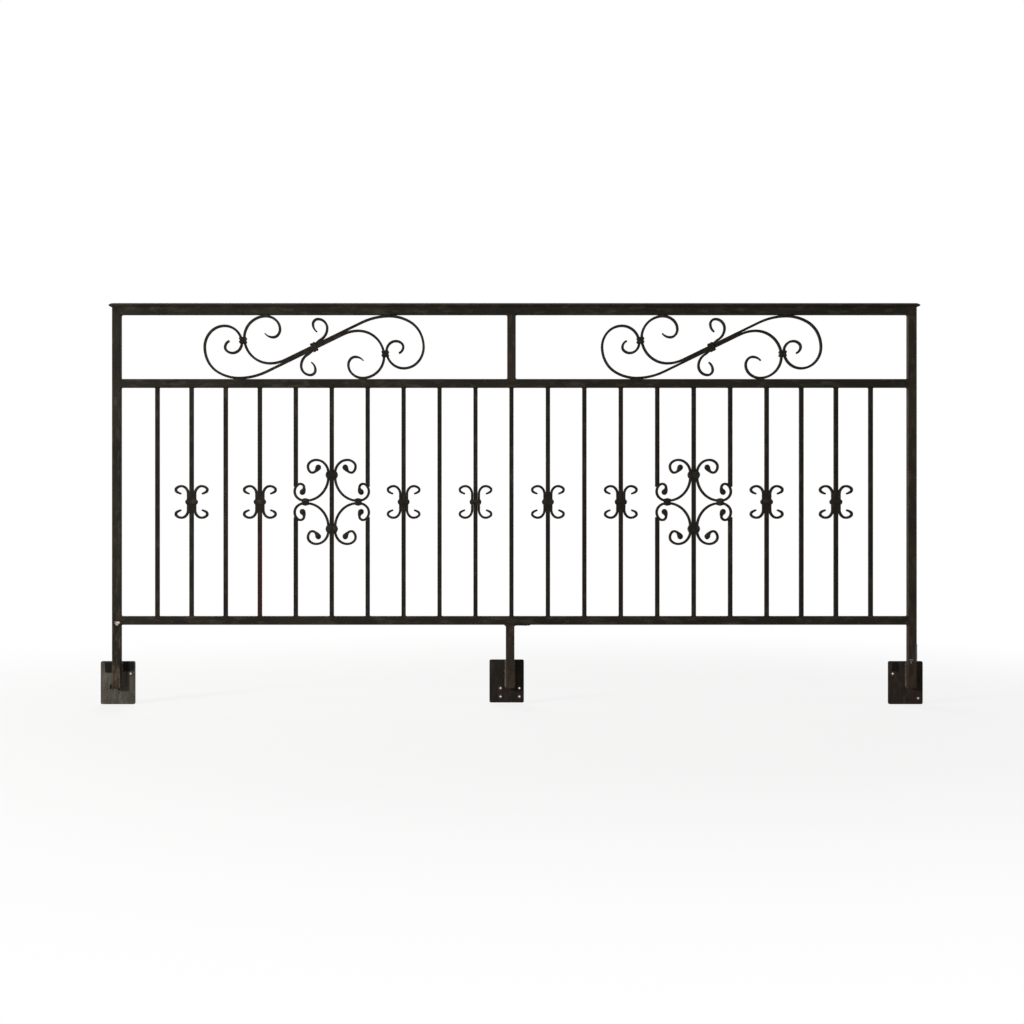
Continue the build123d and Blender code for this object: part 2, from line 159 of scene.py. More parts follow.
@dataclass(frozen=True)
class Spot:
    """A place on the part where rust gathers or a dark patch is painted, each in its own way.

    Attributes:
        centre: Its middle, in metres.
        reach: How far it spreads along X, Y and Z, in metres.
        form: Its outline.
    """

    centre: tuple[float, float, float]
    reach: tuple[float, float, float]
    form: Form = Form.ROUND

    def draw(self, tree: Tree, place: Socket) -> Socket:
        """Draw the spot as a soft hump, which is flat-topped where the spot is square.

        Args:
            tree: Node tree of the material.
            place: Coordinates on the part.

        Returns:
            1 at its middle, falling to 0 where it ends.
        """
        off = add_node(tree, "VectorMath", {"operation": "SUBTRACT", 1: self.centre}, {0: place})
        share = add_node(tree, "VectorMath", {"operation": "DIVIDE", 1: self.reach}, {0: off.outputs[0]})
        if self.form is Form.SQUARE:
            size = add_node(tree, "VectorMath", {"operation": "ABSOLUTE"}, {0: share.outputs[0]})
            axes = add_node(tree, "SeparateXYZ", links={0: size.outputs[0]}).outputs
            flat = add_node(tree, "Math", {"operation": "MAXIMUM"}, {0: axes["X"], 1: axes["Z"]})
            gap = add_node(tree, "Math", {"operation": "MAXIMUM"}, {0: flat.outputs[0], 1: axes["Y"]})
        else:
            gap = add_node(tree, "VectorMath", {"operation": "LENGTH"}, {0: share.outputs[0]})
        hump = add_node(
            tree,
            "MapRange",
            {"From Min": self.form.value, "To Min": 1.0, "To Max": 0.0},
            {"Value": gap.outputs["Value"]},
        )
        return hump.outputs["Result"]


def at_height(z: float, reach: float) -> Spot:
    """Return weather that fades above and below a height, all along the panel."""
    return Spot((0, 0, z), (*ALL_ALONG, reach))


@dataclass(frozen=True)
class Pattern:
    """A soft random pattern.

    Attributes:
        detail: Number of finer layers in it.
        roughness: Strength of each finer layer.
        start: Level above which it shows.
        full: Level at which it shows most.
        most: Its strength there.
    """

    detail: float
    roughness: float = 0.5
    start: float = 0.0
    full: float = 1.0
    most: float = 1.0


CLOUDS = Pattern(5.0, 0.6, start=0.38, full=0.66, most=0.55)
STROKES = Pattern(3.0, start=0.5, full=0.72, most=0.45)
SCUFFS = Pattern(2.0, start=0.52, full=0.76, most=0.85)
BLOOMS = Pattern(6.0, 0.62)
GRIT = Pattern(4.0, 0.7)
PITS = Pattern(4.0, start=0.42, full=0.62)


@dataclass(frozen=True)
class PaintedIron:
    """Mild steel under brushed oil paint, dulled by weather, with rust coming through.

    The eye sees a near-black brown with soft clouds of faded paint, faint strokes that run with the
    bar, and small rough blooms of rust that gather at welds, holes and feet.

    Attributes:
        name: Name of the material.
        paint: Colour of sound paint.
        faded: Colour of paint that has chalked in the sun.
        fleck: Colour of small flecks where the paint is scuffed.
        rust: Colour of old rust.
        fresh_rust: Colour of new rust inside the old.
        dark_patch: Colour of the dark patches.
        stroke: Direction of the brush.
        stroke_mm: Width of one brush mark, drawn coarser than bristles so that it shows.
        cloud_mm: Size of the faded clouds.
        fleck_mm: Size of the flecks.
        fleck_run: How far a fleck is drawn out along the stroke.
        bloom_mm: Size of the rust blooms.
        rust_level: Level of the pattern above which it rusts; lower is rustier.
        rust_pull: How strongly a rusty place lifts the pattern.
        rust_blur: How far above that level the rust is full.
        rust_run: How far rust is drawn out along the stroke.
        dark_patch_level: Level of the pattern above which it is darkened.
        dark_patch_pull: How strongly the place of a dark patch lifts the pattern.
        dark_patch_blur: How far above that level the dark colour is full.
        grit_mm: Grain of the rust's crust, drawn coarser than it is so that it shows.
        dent_mm: Size of hammer marks, or none.
        dent_smoothness: How softly they run into each other.
        mark_relief: Strength of the brush marks' relief, and its depth in millimetres.
        crust_relief: The same of the rust's crust.
        dent_relief: The same of the hammer marks.
        roughness: Roughness of sound paint.
        rust_roughness: Roughness of rust.
        gloss: Specular level, low because the paint has chalked.
        rust_spots: Places where rust gathers.
        dark_patch_spots: Places where dark patches are painted over the paint.
    """

    name: str
    paint: str = "#1c1914"
    faded: str = "#2f2b24"
    fleck: str = "#3a342b"
    rust: str = "#2a1b13"
    fresh_rust: str = "#43291a"
    dark_patch: str = "#12110f"
    stroke: Stroke = Stroke.ALONG_POST
    stroke_mm: float = 1.8
    cloud_mm: float = 110.0
    fleck_mm: float = 12.0
    fleck_run: float = 0.4
    bloom_mm: float = 16.0
    rust_level: float = 0.66
    rust_pull: float = 0.2
    rust_blur: float = 0.16
    rust_run: float = 0.0
    dark_patch_level: float = 0.62
    dark_patch_pull: float = 0.75
    dark_patch_blur: float = 0.46
    grit_mm: float = 1.1
    dent_mm: float = 0.0
    dent_smoothness: float = 0.6
    mark_relief: tuple[float, float] = (0.35, 0.15)
    crust_relief: tuple[float, float] = (0.7, 0.5)
    dent_relief: tuple[float, float] = (0.5, 0.6)
    roughness: float = 0.82
    rust_roughness: float = 0.92
    gloss: float = 0.1
    rust_spots: tuple[Spot, ...] = ()
    dark_patch_spots: tuple[Spot, ...] = ()

    def material(self) -> Material:
        """Return the material, which is built when it is first asked for."""
        return bpy.data.materials.get(self.name) or self.build()

    def patches(
        self,
        tree: Tree,
        place: Socket,
        bloom: Socket,
        spots: tuple[Spot, ...],
        level: float,
        pull: float,
        blur: float,
    ) -> Socket:
        """Draw ragged patches that gather at spots.

        Args:
            tree: Node tree of the material.
            place: Coordinates on the part.
            bloom: Pattern that makes them ragged.
            spots: Where they gather.
            level: Level of the pattern above which a patch starts.
            pull: How strongly a spot lifts the pattern.
            blur: How far above that level a patch is full.

        Returns:
            The mask, 1 inside a patch.
        """
        if spots:
            most, *others = (spot.draw(tree, place) for spot in spots)
            for hump in others:
                most = add_node(tree, "Math", {"operation": "MAXIMUM"}, {0: most, 1: hump}).outputs[0]
            raised = add_node(tree, "Math", {"operation": "MULTIPLY_ADD", 1: pull}, {0: most, 2: bloom})
            bloom = raised.outputs[0]
        mask = add_node(
            tree,
            "MapRange",
            {"interpolation_type": "SMOOTHSTEP", "From Min": level, "From Max": level + blur},
            {"Value": bloom},
        )
        return mask.outputs["Result"]

    def build(self) -> Material:
        """Build the material's nodes.

        Returns:
            The finished material.
        """
        material, tree = blank(self.name)
        place = add_node(tree, "TexCoord").outputs["Object"]
        levels: dict[Pattern, Socket] = {}
        for pattern, size_mm, pull in (
            (CLOUDS, self.cloud_mm, 0.0),
            (STROKES, self.stroke_mm, 1.0),
            (SCUFFS, self.fleck_mm, self.fleck_run),
            (GRIT, self.grit_mm, 0.0),
            (BLOOMS, self.bloom_mm, self.rust_run),
        ):
            scale = self.stroke.scale(size_mm, pull)
            drawn = add_node(tree, "Mapping", {"Scale": scale}, {"Vector": place})
            settings = {"Scale": 1.0, "Detail": pattern.detail, "Roughness": pattern.roughness}
            level = add_node(tree, "TexNoise", settings, {"Vector": drawn.outputs[0]})
            levels[pattern] = level.outputs[0]
        bloom, grit = levels[BLOOMS], levels[GRIT]
        rusted = self.patches(
            tree, place, bloom, self.rust_spots, self.rust_level, self.rust_pull, self.rust_blur
        )

        blend = {"data_type": "RGBA"}
        under: dict[int, Socket] = {}
        for pattern, tint in ((CLOUDS, self.faded), (STROKES, self.faded), (SCUFFS, self.fleck)):
            band = {"From Min": pattern.start, "From Max": pattern.full, "To Max": pattern.most}
            mask = add_node(tree, "MapRange", band, {"Value": levels[pattern]})
            layer = add_node(
                tree,
                "Mix",
                {**blend, MIX_A: linear(self.paint), MIX_B: linear(tint)},
                {MIX_FACTOR: mask.outputs["Result"], **under},
            )
            under = {MIX_A: layer.outputs[MIX_COLOUR]}
        crust = add_node(
            tree,
            "Mix",
            {**blend, MIX_A: linear(self.rust), MIX_B: linear(self.fresh_rust)},
            {MIX_FACTOR: grit},
        )
        colour = add_node(
            tree, "Mix", blend, {MIX_FACTOR: rusted, MIX_B: crust.outputs[MIX_COLOUR], **under}
        )
        # Dark patches painted over the colour at the listed places
        if self.dark_patch_spots:
            darkened = self.patches(
                tree, place, bloom, self.dark_patch_spots, self.dark_patch_level, self.dark_patch_pull, self.dark_patch_blur
            )
            colour = add_node(
                tree,
                "Mix",
                {**blend, MIX_B: linear(self.dark_patch)},
                {MIX_FACTOR: darkened, MIX_A: colour.outputs[MIX_COLOUR]},
            )

        dullness = {"To Min": self.roughness, "To Max": self.rust_roughness}
        roughness = add_node(tree, "MapRange", dullness, {"Value": rusted})
        shader = add_node(
            tree,
            "BsdfPrincipled",
            {"Specular IOR Level": self.gloss},
            {
                "Base Color": colour.outputs[MIX_COLOUR],
                "Roughness": roughness.outputs["Result"],
                "Normal": self.relief(tree, place, levels[STROKES], grit, rusted),
            },
        )
        add_node(tree, "OutputMaterial", links={"Surface": shader.outputs["BSDF"]})
        return material

    def relief(
        self, tree: Tree, place: Socket, strokes: Socket, grit: Socket, rusted: Socket
    ) -> Socket:
        """Draw the fine relief of brush marks, rust crust and hammer marks.

        Args:
            tree: Node tree of the material.
            place: Coordinates on the part.
            strokes: Pattern of the brush.
            grit: Grain of the rust.
            rusted: Where it rusts.

        Returns:
            The bent normal.
        """
        crust = add_node(tree, "Math", {"operation": "MULTIPLY"}, {0: grit, 1: rusted})
        heights = [(strokes, self.mark_relief), (crust.outputs[0], self.crust_relief)]
        if self.dent_mm:
            dents = add_node(
                tree,
                "TexVoronoi",
                {
                    "feature": "SMOOTH_F1",
                    "Scale": 1 / (self.dent_mm * MM),
                    "Smoothness": self.dent_smoothness,
                },
                {"Vector": place},
            )
            heights.append((dents.outputs["Distance"], self.dent_relief))
        normal: dict[str, Socket] = {}
        for height, (strength, depth_mm) in heights:
            settings = {"Strength": strength, "Distance": depth_mm * MM}
            bump = add_node(tree, "Bump", settings, {"Height": height, **normal})
            normal = {"Normal": bump.outputs[0]}
        return normal["Normal"]


@dataclass(frozen=True)
class BareWeld:
    """Weld metal that was ground and never painted, so it glints between darker pits.

    Attributes:
        name: Name of the material.
        bright: Colour of the ground steel.
        dull: Colour of the pits.
        pit_mm: Size of the pits.
        pit_relief: Strength of their relief, and its depth in millimetres.
        metallic: How much of it is clean metal.
        roughness: Roughness of the ground steel.
    """

    name: str = "ground_bare_weld"
    bright: str = "#b3a89d"
    dull: str = "#4a3c33"
    pit_mm: float = 4.0
    pit_relief: tuple[float, float] = (0.6, 0.4)
    metallic: float = 0.8
    roughness: float = 0.38

    def material(self) -> Material:
        """Build the material's nodes.

        Returns:
            The finished material.
        """
        material, tree = blank(self.name)
        place = add_node(tree, "TexCoord").outputs["Object"]
        grain = {"Scale": 1 / (self.pit_mm * MM), "Detail": PITS.detail}
        pits = add_node(tree, "TexNoise", grain, {"Vector": place}).outputs[0]
        band = {"From Min": PITS.start, "From Max": PITS.full}
        share = add_node(tree, "MapRange", band, {"Value": pits})
        colour = add_node(
            tree,
            "Mix",
            {"data_type": "RGBA", MIX_A: linear(self.bright), MIX_B: linear(self.dull)},
            {MIX_FACTOR: share.outputs["Result"]},
        )
        strength, depth_mm = self.pit_relief
        bump = add_node(
            tree, "Bump", {"Strength": strength, "Distance": depth_mm * MM}, {"Height": pits}
        )
        shader = add_node(
            tree,
            "BsdfPrincipled",
            {"Metallic": self.metallic, "Roughness": self.roughness},
            {"Base Color": colour.outputs[MIX_COLOUR], "Normal": bump.outputs[0]},
        )
        add_node(tree, "OutputMaterial", links={"Surface": shader.outputs["BSDF"]})
        return material


def dress(node: str, finish: PaintedIron, edge: PaintedIron, radius: float) -> None:
    """Paint a solid and round its edges, where rubbed paint is paler as a painted highlight.

    Args:
        node: Name of the solid.
        finish: Finish of its faces.
        edge: Finish of its rounded edges: rubbed paint, paler as a painted highlight.
        radius: Radius of the edges, in metres.
    """
    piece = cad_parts[node]
    piece.data.materials.clear()
    piece.data.materials.append(finish.material())
    piece.data.materials.append(edge.material())
    piece.data.shade_smooth()
    weld = piece.modifiers.new("joined", "WELD")
    weld.merge_threshold = JOIN_GAP
    flat = piece.modifiers.new("whole_faces", "DECIMATE")
    flat.decimate_type = "DISSOLVE"
    flat.angle_limit = FLAT_ANGLE
    bevel = piece.modifiers.new("rounded", "BEVEL")
    bevel.width = radius
    bevel.segments = EDGE_STEPS
    bevel.limit_method = "ANGLE"
    bevel.angle_limit = EDGE_ANGLE
    # The rounded edges take the paler rubbed paint, a painted highlight along each edge
    bevel.material = 1
    normals = piece.modifiers.new("even_light", "WEIGHTED_NORMAL")
    normals.weight = NORMAL_WEIGHT
    LOG.info("dressed %s", node)


def add_piece(name: str, mesh: Mesh, material: Material) -> None:
    """Put a finished mesh on the railing.

    Args:
        name: Name of the piece.
        mesh: Its mesh, which is used up.
        material: Its finish.
    """
    for face in mesh.faces:
        face.smooth = True
    data = bpy.data.meshes.new(name)
    mesh.to_mesh(data)
    mesh.free()
    data.materials.append(material)
    piece = bpy.data.objects.new(name, data)
    bpy.context.scene.collection.objects.link(piece)
    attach(piece, BODY)
    LOG.info("added %s with %d faces", name, len(data.polygons))


@dataclass
class WeldRun:
    """Ropes and lumps of arc weld that make up one piece.

    Attributes:
        name: Name of the piece.
        ripple: Spacing of the ripples along a bead.
        sides: Faces round a bead.
        steps: Sections to each ripple.
        least: Fewest sections of a bead.
        body: Share of the radius that every section has.
        wave: Share of the radius that a ripple adds.
        wander: Share of the radius by which a bead is uneven.
        wander_scale: How often it is so, to the metre.
        tip: Share of the radius at a bead's ends.
        taper: Length of those ends, in radii.
        blob_steps: How finely a lump is divided.
        blob_dents: How often a lump is dented across its radius.
        blob_shift: How fast the dents change from lump to lump, to the metre.
        mesh: Mesh in the making.
    """

    name: str
    ripple: float = 3.2 * MM
    sides: int = 7
    steps: int = 3
    least: int = 4
    body: float = 0.8
    wave: float = 0.16
    wander: float = 0.22
    wander_scale: float = 160.0
    tip: float = 0.25
    taper: float = 1.4
    blob_steps: int = 3
    blob_dents: float = 1.7
    blob_shift: float = 90.0
    mesh: Mesh = field(default_factory=bmesh.new)

    def sections(self, path: list[Vector], closed: bool) -> list[tuple[Vector, Vector, float]]:
        """Divide a path evenly.

        Args:
            path: Corners of the path.
            closed: Whether it returns to its start.

        Returns:
            Point, direction and distance from the start of each section.
        """
        corners = [*path, path[0]] if closed else path
        legs = list(zip(corners, corners[1:]))
        length = sum((end - start).length for start, end in legs)
        count = max(self.least, round(length * self.steps / self.ripple))
        found = []
        for index in range(count if closed else count + 1):
            walked = rest = length * index / count
            for start, end in legs:
                span = (end - start).length
                if rest <= span + ROUNDING:
                    break
                rest -= span
            direction = (end - start).normalized()
            found.append((start + direction * rest, direction, walked))
        return found

    def bead(self, path: list[Vector], normal: Vector, radius: float, closed: bool = False) -> None:
        """Lay a rippled bead along a flat path.

        Args:
            path: Corners of the path.
            normal: Direction square to the plane of the path.
            radius: Radius of the bead.
            closed: Whether it returns to its start.
        """
        sections = self.sections(path, closed)
        total = sections[-1][2]
        rings = []
        for point, direction, walked in sections:
            side = normal.cross(direction).normalized()
            wave = abs(math.sin(math.pi * walked / self.ripple))
            uneven = noise.noise(point * self.wander_scale)
            swell = self.body + self.wave * wave + self.wander * uneven
            if not closed:
                swell *= min(1.0, self.tip + min(walked, total - walked) / (self.taper * radius))
            ring = []
            for index in range(self.sides):
                angle = 2 * math.pi * index / self.sides
                offset = (side * math.cos(angle) + normal * math.sin(angle)) * radius * swell
                ring.append(self.mesh.verts.new(point + offset))
            rings.append(ring)
        pairs = list(zip(rings, rings[1:]))
        if closed:
            pairs.append((rings[-1], rings[0]))
        else:
            self.mesh.faces.new(rings[0][::-1])
            self.mesh.faces.new(rings[-1])
        for first, second in pairs:
            for index in range(self.sides):
                after = (index + 1) % self.sides
                self.mesh.faces.new((first[index], first[after], second[after], second[index]))

    def lump(self, centre: Vector, size: tuple[float, float, float], roughly: float = 0.25) -> None:
        """Add a blob of weld metal.

        Args:
            centre: Middle of the blob.
            size: Its half sizes along X, Y and Z.
            roughly: How uneven it is, as a share of its size.
        """
        made = bmesh.ops.create_icosphere(self.mesh, subdivisions=self.blob_steps, radius=1.0)
        for vert in made["verts"]:
            swell = 1 + roughly * noise.noise(vert.co * self.blob_dents + centre * self.blob_shift)
            vert.co = centre + Vector(c * s * swell for c, s in zip(vert.co, size))

    def finish(self, material: Material, slot: str) -> None:
        """Turn the welds into a piece of the railing, of a finish; the slot is not used."""
        bmesh.ops.recalc_face_normals(self.mesh, faces=self.mesh.faces)
        add_piece(self.name, self.mesh, material)


@dataclass
class TubeFrame:
    """Square-tube frame with its handrail.

    Attributes:
        rails: Lying tubes.
        posts: Standing tubes.
        stubs: Short standing tubes.
        cap: Crowned bar on top.
        browned: Tubes that have weathered brown.
        leg_rust: How far rust has climbed from the posts' feet.
        edge_radius: Radius of cut edges.
        bead: Radius of the corner welds.
        heavy_bead: Radius of the welds at the centre leg's head.
        leg_bead_run: Length of the weld that runs on along the rail.
        flush: How much of a weld stands proud of flush faces.
        corner_drops: Drops of weld at the right upper corner: across from it, and half width.
        drop_depth: Half depth of a drop.
        drop_height: Half height of a drop.
        ground_lumps: Bare lumps on the left post: across from its middle, up from the bottom rail's
            underside, half width and half height.
        highlight_lumps: Weld lumps on the right post, painted pale grey as a highlight: across from
        its middle, up from the plate's top, half width and half height.
        lump_depth: Half depth of a lump.
        strip_bead: Radius of the weld bead on the right post's edge, painted pale grey as a highlight.
        strip_inset: Distance of its middle from the post's faces.
        strip_run: Its length above the plate.
    """

    rails: tuple[str, ...] = ("top_rail", "middle_rail", "bottom_rail")
    posts: tuple[str, ...] = ("left_post", "right_post")
    stubs: tuple[str, ...] = ("frieze_divider", "centre_leg")
    cap: str = "handrail_cap"
    browned: tuple[str, ...] = ("right_post", "frieze_divider", "centre_leg")
    leg_rust: float = 320.0 * MM
    edge_radius: float = 0.7 * MM
    bead: float = 2.8 * MM
    heavy_bead: float = 5.0 * MM
    leg_bead_run: float = 48.0 * MM
    flush: float = 0.7 * MM
    corner_drops: tuple[tuple[float, float], ...] = (
        (-8.0 * MM, 4.0 * MM),
        (-1.0 * MM, 5.0 * MM),
        (6.0 * MM, 4.0 * MM),
        (13.0 * MM, 5.0 * MM),
    )
    drop_depth: float = 1.6 * MM
    drop_height: float = 3.0 * MM
    ground_lumps: tuple[tuple[float, float, float, float], ...] = (
        (-1.0 * MM, 6.0 * MM, 5.5 * MM, 4.0 * MM),
        (2.5 * MM, 1.5 * MM, 4.5 * MM, 4.0 * MM),
        (8.0 * MM, 6.5 * MM, 5.0 * MM, 3.0 * MM),
    )
    # Weld lumps on the right post, coloured pale grey as a painted highlight
    highlight_lumps: tuple[tuple[float, float, float, float], ...] = (
        (-3.0 * MM, 6.0 * MM, 8.0 * MM, 3.2 * MM),
        (-4.0 * MM, 0.0, 3.0 * MM, 6.0 * MM),
    )
    lump_depth: float = 1.8 * MM
    strip_bead: float = 2.6 * MM
    strip_inset: float = 1.2 * MM
    strip_run: float = 56.0 * MM

    def rust_spots(self) -> tuple[Spot, ...]:
        """Return the rust that climbs from the posts' feet."""
        return (at_height(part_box("left_post")[0].z, self.leg_rust),)

    def paint(self, rail: PaintedIron, post: PaintedIron, brown: PaintedIron, edge: PaintedIron) -> None:
        """Paint the tubes and the handrail.

        Args:
            rail: Finish with strokes along the panel.
            post: Finish with strokes up the panel.
            brown: Finish of the tubes that have weathered brown.
            edge: Finish of rubbed edges, paler as a painted highlight.
        """
        for node in (*self.rails, self.cap):
            dress(node, rail, edge, self.edge_radius)
        for node in (*self.posts, *self.stubs):
            dress(node, brown if node in self.browned else post, edge, self.edge_radius)

    def corner(self, welds: WeldRun, x: float, z: float) -> None:
        """Lay a weld through the depth of the frame, in a corner between two tubes."""
        low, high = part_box("bottom_rail")
        welds.bead([Vector((x, low.y, z)), Vector((x, high.y, z))], Z, self.bead)

    def flush_seam(self, welds: WeldRun, start: Vector, end: Vector) -> None:
        """Lay a low weld on the flush front and back faces between two points in the panel.

        Args:
            welds: Piece that the weld joins.
            start: One end, at any depth.
            end: The other end.
        """
        low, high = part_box("bottom_rail")
        sunk = self.bead - self.flush
        for y in (low.y + sunk, high.y - sunk):
            path = [Vector((point.x, y, point.z)) for point in (start, end)]
            welds.bead(path, Y, self.bead)

    def weld(self, finish: PaintedIron) -> None:
        """Weld the rails to the posts, and the divider and the centre leg to the rails.

        Args:
            finish: Finish of the welds.
        """
        welds = WeldRun("frame_welds")
        for rail in self.rails:
            low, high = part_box(rail)
            for x in (low.x, high.x):
                for z in (low.z, high.z):
                    self.corner(welds, x, z)
                self.flush_seam(welds, Vector((x, 0, low.z)), Vector((x, 0, high.z)))
        for stub in self.stubs:
            low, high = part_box(stub)
            ends = (low.z, high.z) if stub == "frieze_divider" else (high.z,)
            for z in ends:
                for x in (low.x, high.x):
                    self.corner(welds, x, z)
                self.flush_seam(welds, Vector((low.x, 0, z)), Vector((high.x, 0, z)))
        self.leg_run(welds)
        welds.finish(finish.material(), "painted_tube")

    def leg_run(self, welds: WeldRun) -> None:
        """Lay the heavy weld at the centre leg's head, and drops at the right upper corner.

        Args:
            welds: Piece that the weld joins.
        """
        low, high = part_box("centre_leg")
        for x in (low.x, high.x):
            welds.bead([Vector((x, low.y, high.z)), Vector((x, high.y, high.z))], Z, self.heavy_bead)
        for y in (low.y + self.bead, high.y - self.bead):
            path = [Vector((high.x, y, high.z)), Vector((high.x + self.leg_bead_run, y, high.z))]
            welds.bead(path, Z, self.bead)
        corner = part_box("top_rail")
        for across, wide in self.corner_drops:
            centre = Vector((corner[1].x + across, low.y, corner[0].z))
            welds.lump(centre, (wide, self.drop_depth, self.drop_height), LUMPY)

    def bare_weld(self, finish: BareWeld, weld_highlight: PaintedIron) -> None:
        """Add ground bare weld on the left post, and a painted highlight of pale weld on the right post.

        Args:
            finish: Finish of bare weld metal.
            weld_highlight: Finish of the right post's weld, pale grey as a painted highlight.
        """
        ground, strip = WeldRun("bare_welds"), WeldRun("weld_painted_highlight")
        left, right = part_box("left_post"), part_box("right_post")
        under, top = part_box("bottom_rail")[0].z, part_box("right_plate")[1].z
        # The bead on the right post's edge is coloured pale grey as a painted highlight
        edge = Vector((right[1].x - self.strip_inset, right[0].y + self.strip_inset, top))
        strip.bead([edge + Z * self.strip_run, edge], Y, self.strip_bead)
        for welds, (low, high), level, lumps in (
            (ground, left, under, self.ground_lumps),
            (strip, right, top, self.highlight_lumps),
        ):
            middle = (low.x + high.x) / 2
            for across, up, wide, tall in lumps:
                centre = Vector((middle + across, low.y, level + up))
                welds.lump(centre, (wide, self.lump_depth, tall), LUMPY)
        ground.finish(finish.material(), "painted_tube")
        strip.finish(weld_highlight.material(), "painted_tube")


@dataclass
class BalusterField:
    """Square-bar balusters between the bottom and middle rails.

    Attributes:
        count: Number of balusters.
        split: Numbers of those that stop at a rosette.
        reddened: Number of the one whose lower half has lost its paint.
        foot_rust: How far rust has spread from the bars' feet.
        head_rust: How far rust has spread from the bars' heads.
        bare_rust: How far rust has climbed the reddened bar.
        edge_radius: Radius of the bars' edges.
        bead: Radius of the welds round their ends.
    """

    count: int = 21
    split: tuple[int, ...] = (5, 7, 15, 17)
    reddened: int = 4
    foot_rust: float = 26.0 * MM
    head_rust: float = 22.0 * MM
    bare_rust: float = 420.0 * MM
    edge_radius: float = 0.9 * MM
    bead: float = 1.9 * MM

    def rust_spots(self) -> tuple[tuple[Spot, ...], tuple[Spot, ...]]:
        """Find where the bars rust.

        Returns:
            Rust at the ends of every bar, and rust that climbs the reddened one.
        """
        low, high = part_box("baluster_01")
        ends = (at_height(low.z, self.foot_rust), at_height(high.z, self.head_rust))
        return ends, (at_height(low.z, self.bare_rust),)

    def paint(self, bar: PaintedIron, worn: PaintedIron, edge: PaintedIron) -> None:
        """Paint the bars.

        Args:
            bar: Finish of sound bars.
            worn: Finish of the bar that has reddened.
            edge: Finish of rubbed edges, paler as a painted highlight.
        """
        for number in range(1, self.count + 1):
            finish = worn if number == self.reddened else bar
            dress(f"baluster_{number:02d}", finish, edge, self.edge_radius)

    def weld(self, finish: PaintedIron) -> None:
        """Weld each bar to the rails, and the split bars to the rosettes' curls.

        Args:
            finish: Finish of the welds.
        """
        welds = WeldRun("baluster_welds", sides=6)
        for number in range(1, self.count + 1):
            low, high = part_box(f"baluster_{number:02d}")
            for z in (low.z, high.z):
                corners = [(low.x, low.y), (high.x, low.y), (high.x, high.y), (low.x, high.y)]
                welds.bead([Vector((x, y, z)) for x, y in corners], Z, self.bead, closed=True)
            if number in self.split:
                for z in self.inner_ends(number):
                    for y in (low.y, high.y):
                        path = [Vector((low.x, y, z)), Vector((high.x, y, z))]
                        welds.bead(path, Z, self.bead)
        welds.finish(finish.material(), "painted_bar")

    def inner_ends(self, number: int) -> tuple[float, float]:
        """Find the heights at which a split bar meets the rosette.

        Args:
            number: Number of the bar.

        Returns:
            Top of its lower length and foot of its upper length.
        """
        heights = [vert.co.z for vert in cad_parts[f"baluster_{number:02d}"].data.vertices]
        middle = (min(heights) + max(heights)) / 2
        return max(z for z in heights if z < middle), min(z for z in heights if z > middle)


@dataclass
class Scrollwork:
    """Forged scrolls and the collars that hold them.

    Attributes:
        scrolls: Forged bars.
        collars: Collars round them.
        edge_radius: Radius of the bars' edges.
        collar_radius: Radius of the collars' edges.
    """

    scrolls: tuple[str, ...]
    collars: str
    edge_radius: float = 1.0 * MM
    collar_radius: float = 0.5 * MM

    def paint(self, forging: PaintedIron, edge: PaintedIron) -> None:
        """Paint the scrolls and the collars.

        Args:
            forging: Finish of hammered bar.
            edge: Finish of rubbed edges, paler as a painted highlight.
        """
        for node in self.scrolls:
            dress(node, forging, edge, self.edge_radius)
        dress(self.collars, forging, edge, self.collar_radius)


@dataclass
class Frieze(Scrollwork):
    """Paired S-scrolls, tendrils and collars between the top and middle rails.

    Attributes:
        rests: Scrolls that rest on a rail, that rail, and 0 for its underside or 1 for its top.
        bead: Radius of the welds at the rests.
        rest: Half length of a weld at a rest.
        touch: Largest gap between a scroll and a rail where it rests.
        apart: Least distance between two rests.
    """

    scrolls: tuple[str, ...] = ("frieze_lower_scrolls", "frieze_upper_scrolls", "frieze_tendrils")
    collars: str = "frieze_collars"
    rests: tuple[tuple[str, str, int], ...] = (
        ("frieze_lower_scrolls", "middle_rail", 1),
        ("frieze_upper_scrolls", "top_rail", 0),
    )
    bead: float = 2.0 * MM
    rest: float = 9.0 * MM
    touch: float = 1.5 * MM
    apart: float = 100.0 * MM

    def weld(self, finish: PaintedIron) -> None:
        """Weld the scrolls to the rails, in front and behind, where they rest.

        Args:
            finish: Finish of the welds.
        """
        welds = WeldRun("frieze_welds")
        for node, rail, face in self.rests:
            low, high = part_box(node)
            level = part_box(rail)[face].z
            verts = [vert.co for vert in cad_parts[node].data.vertices]
            touching = sorted(v.x for v in verts if abs(v.z - level) < self.touch)
            gaps = zip([-math.inf, *touching], touching)
            for start in [x for before, x in gaps if x - before > self.apart]:
                near = [x for x in touching if 0 <= x - start < self.apart]
                middle = (near[0] + near[-1]) / 2
                for y in (low.y, high.y):
                    ends = (middle - self.rest, middle + self.rest)
                    welds.bead([Vector((x, y, level)) for x in ends], Z, self.bead)
        welds.finish(finish.material(), "painted_forging")


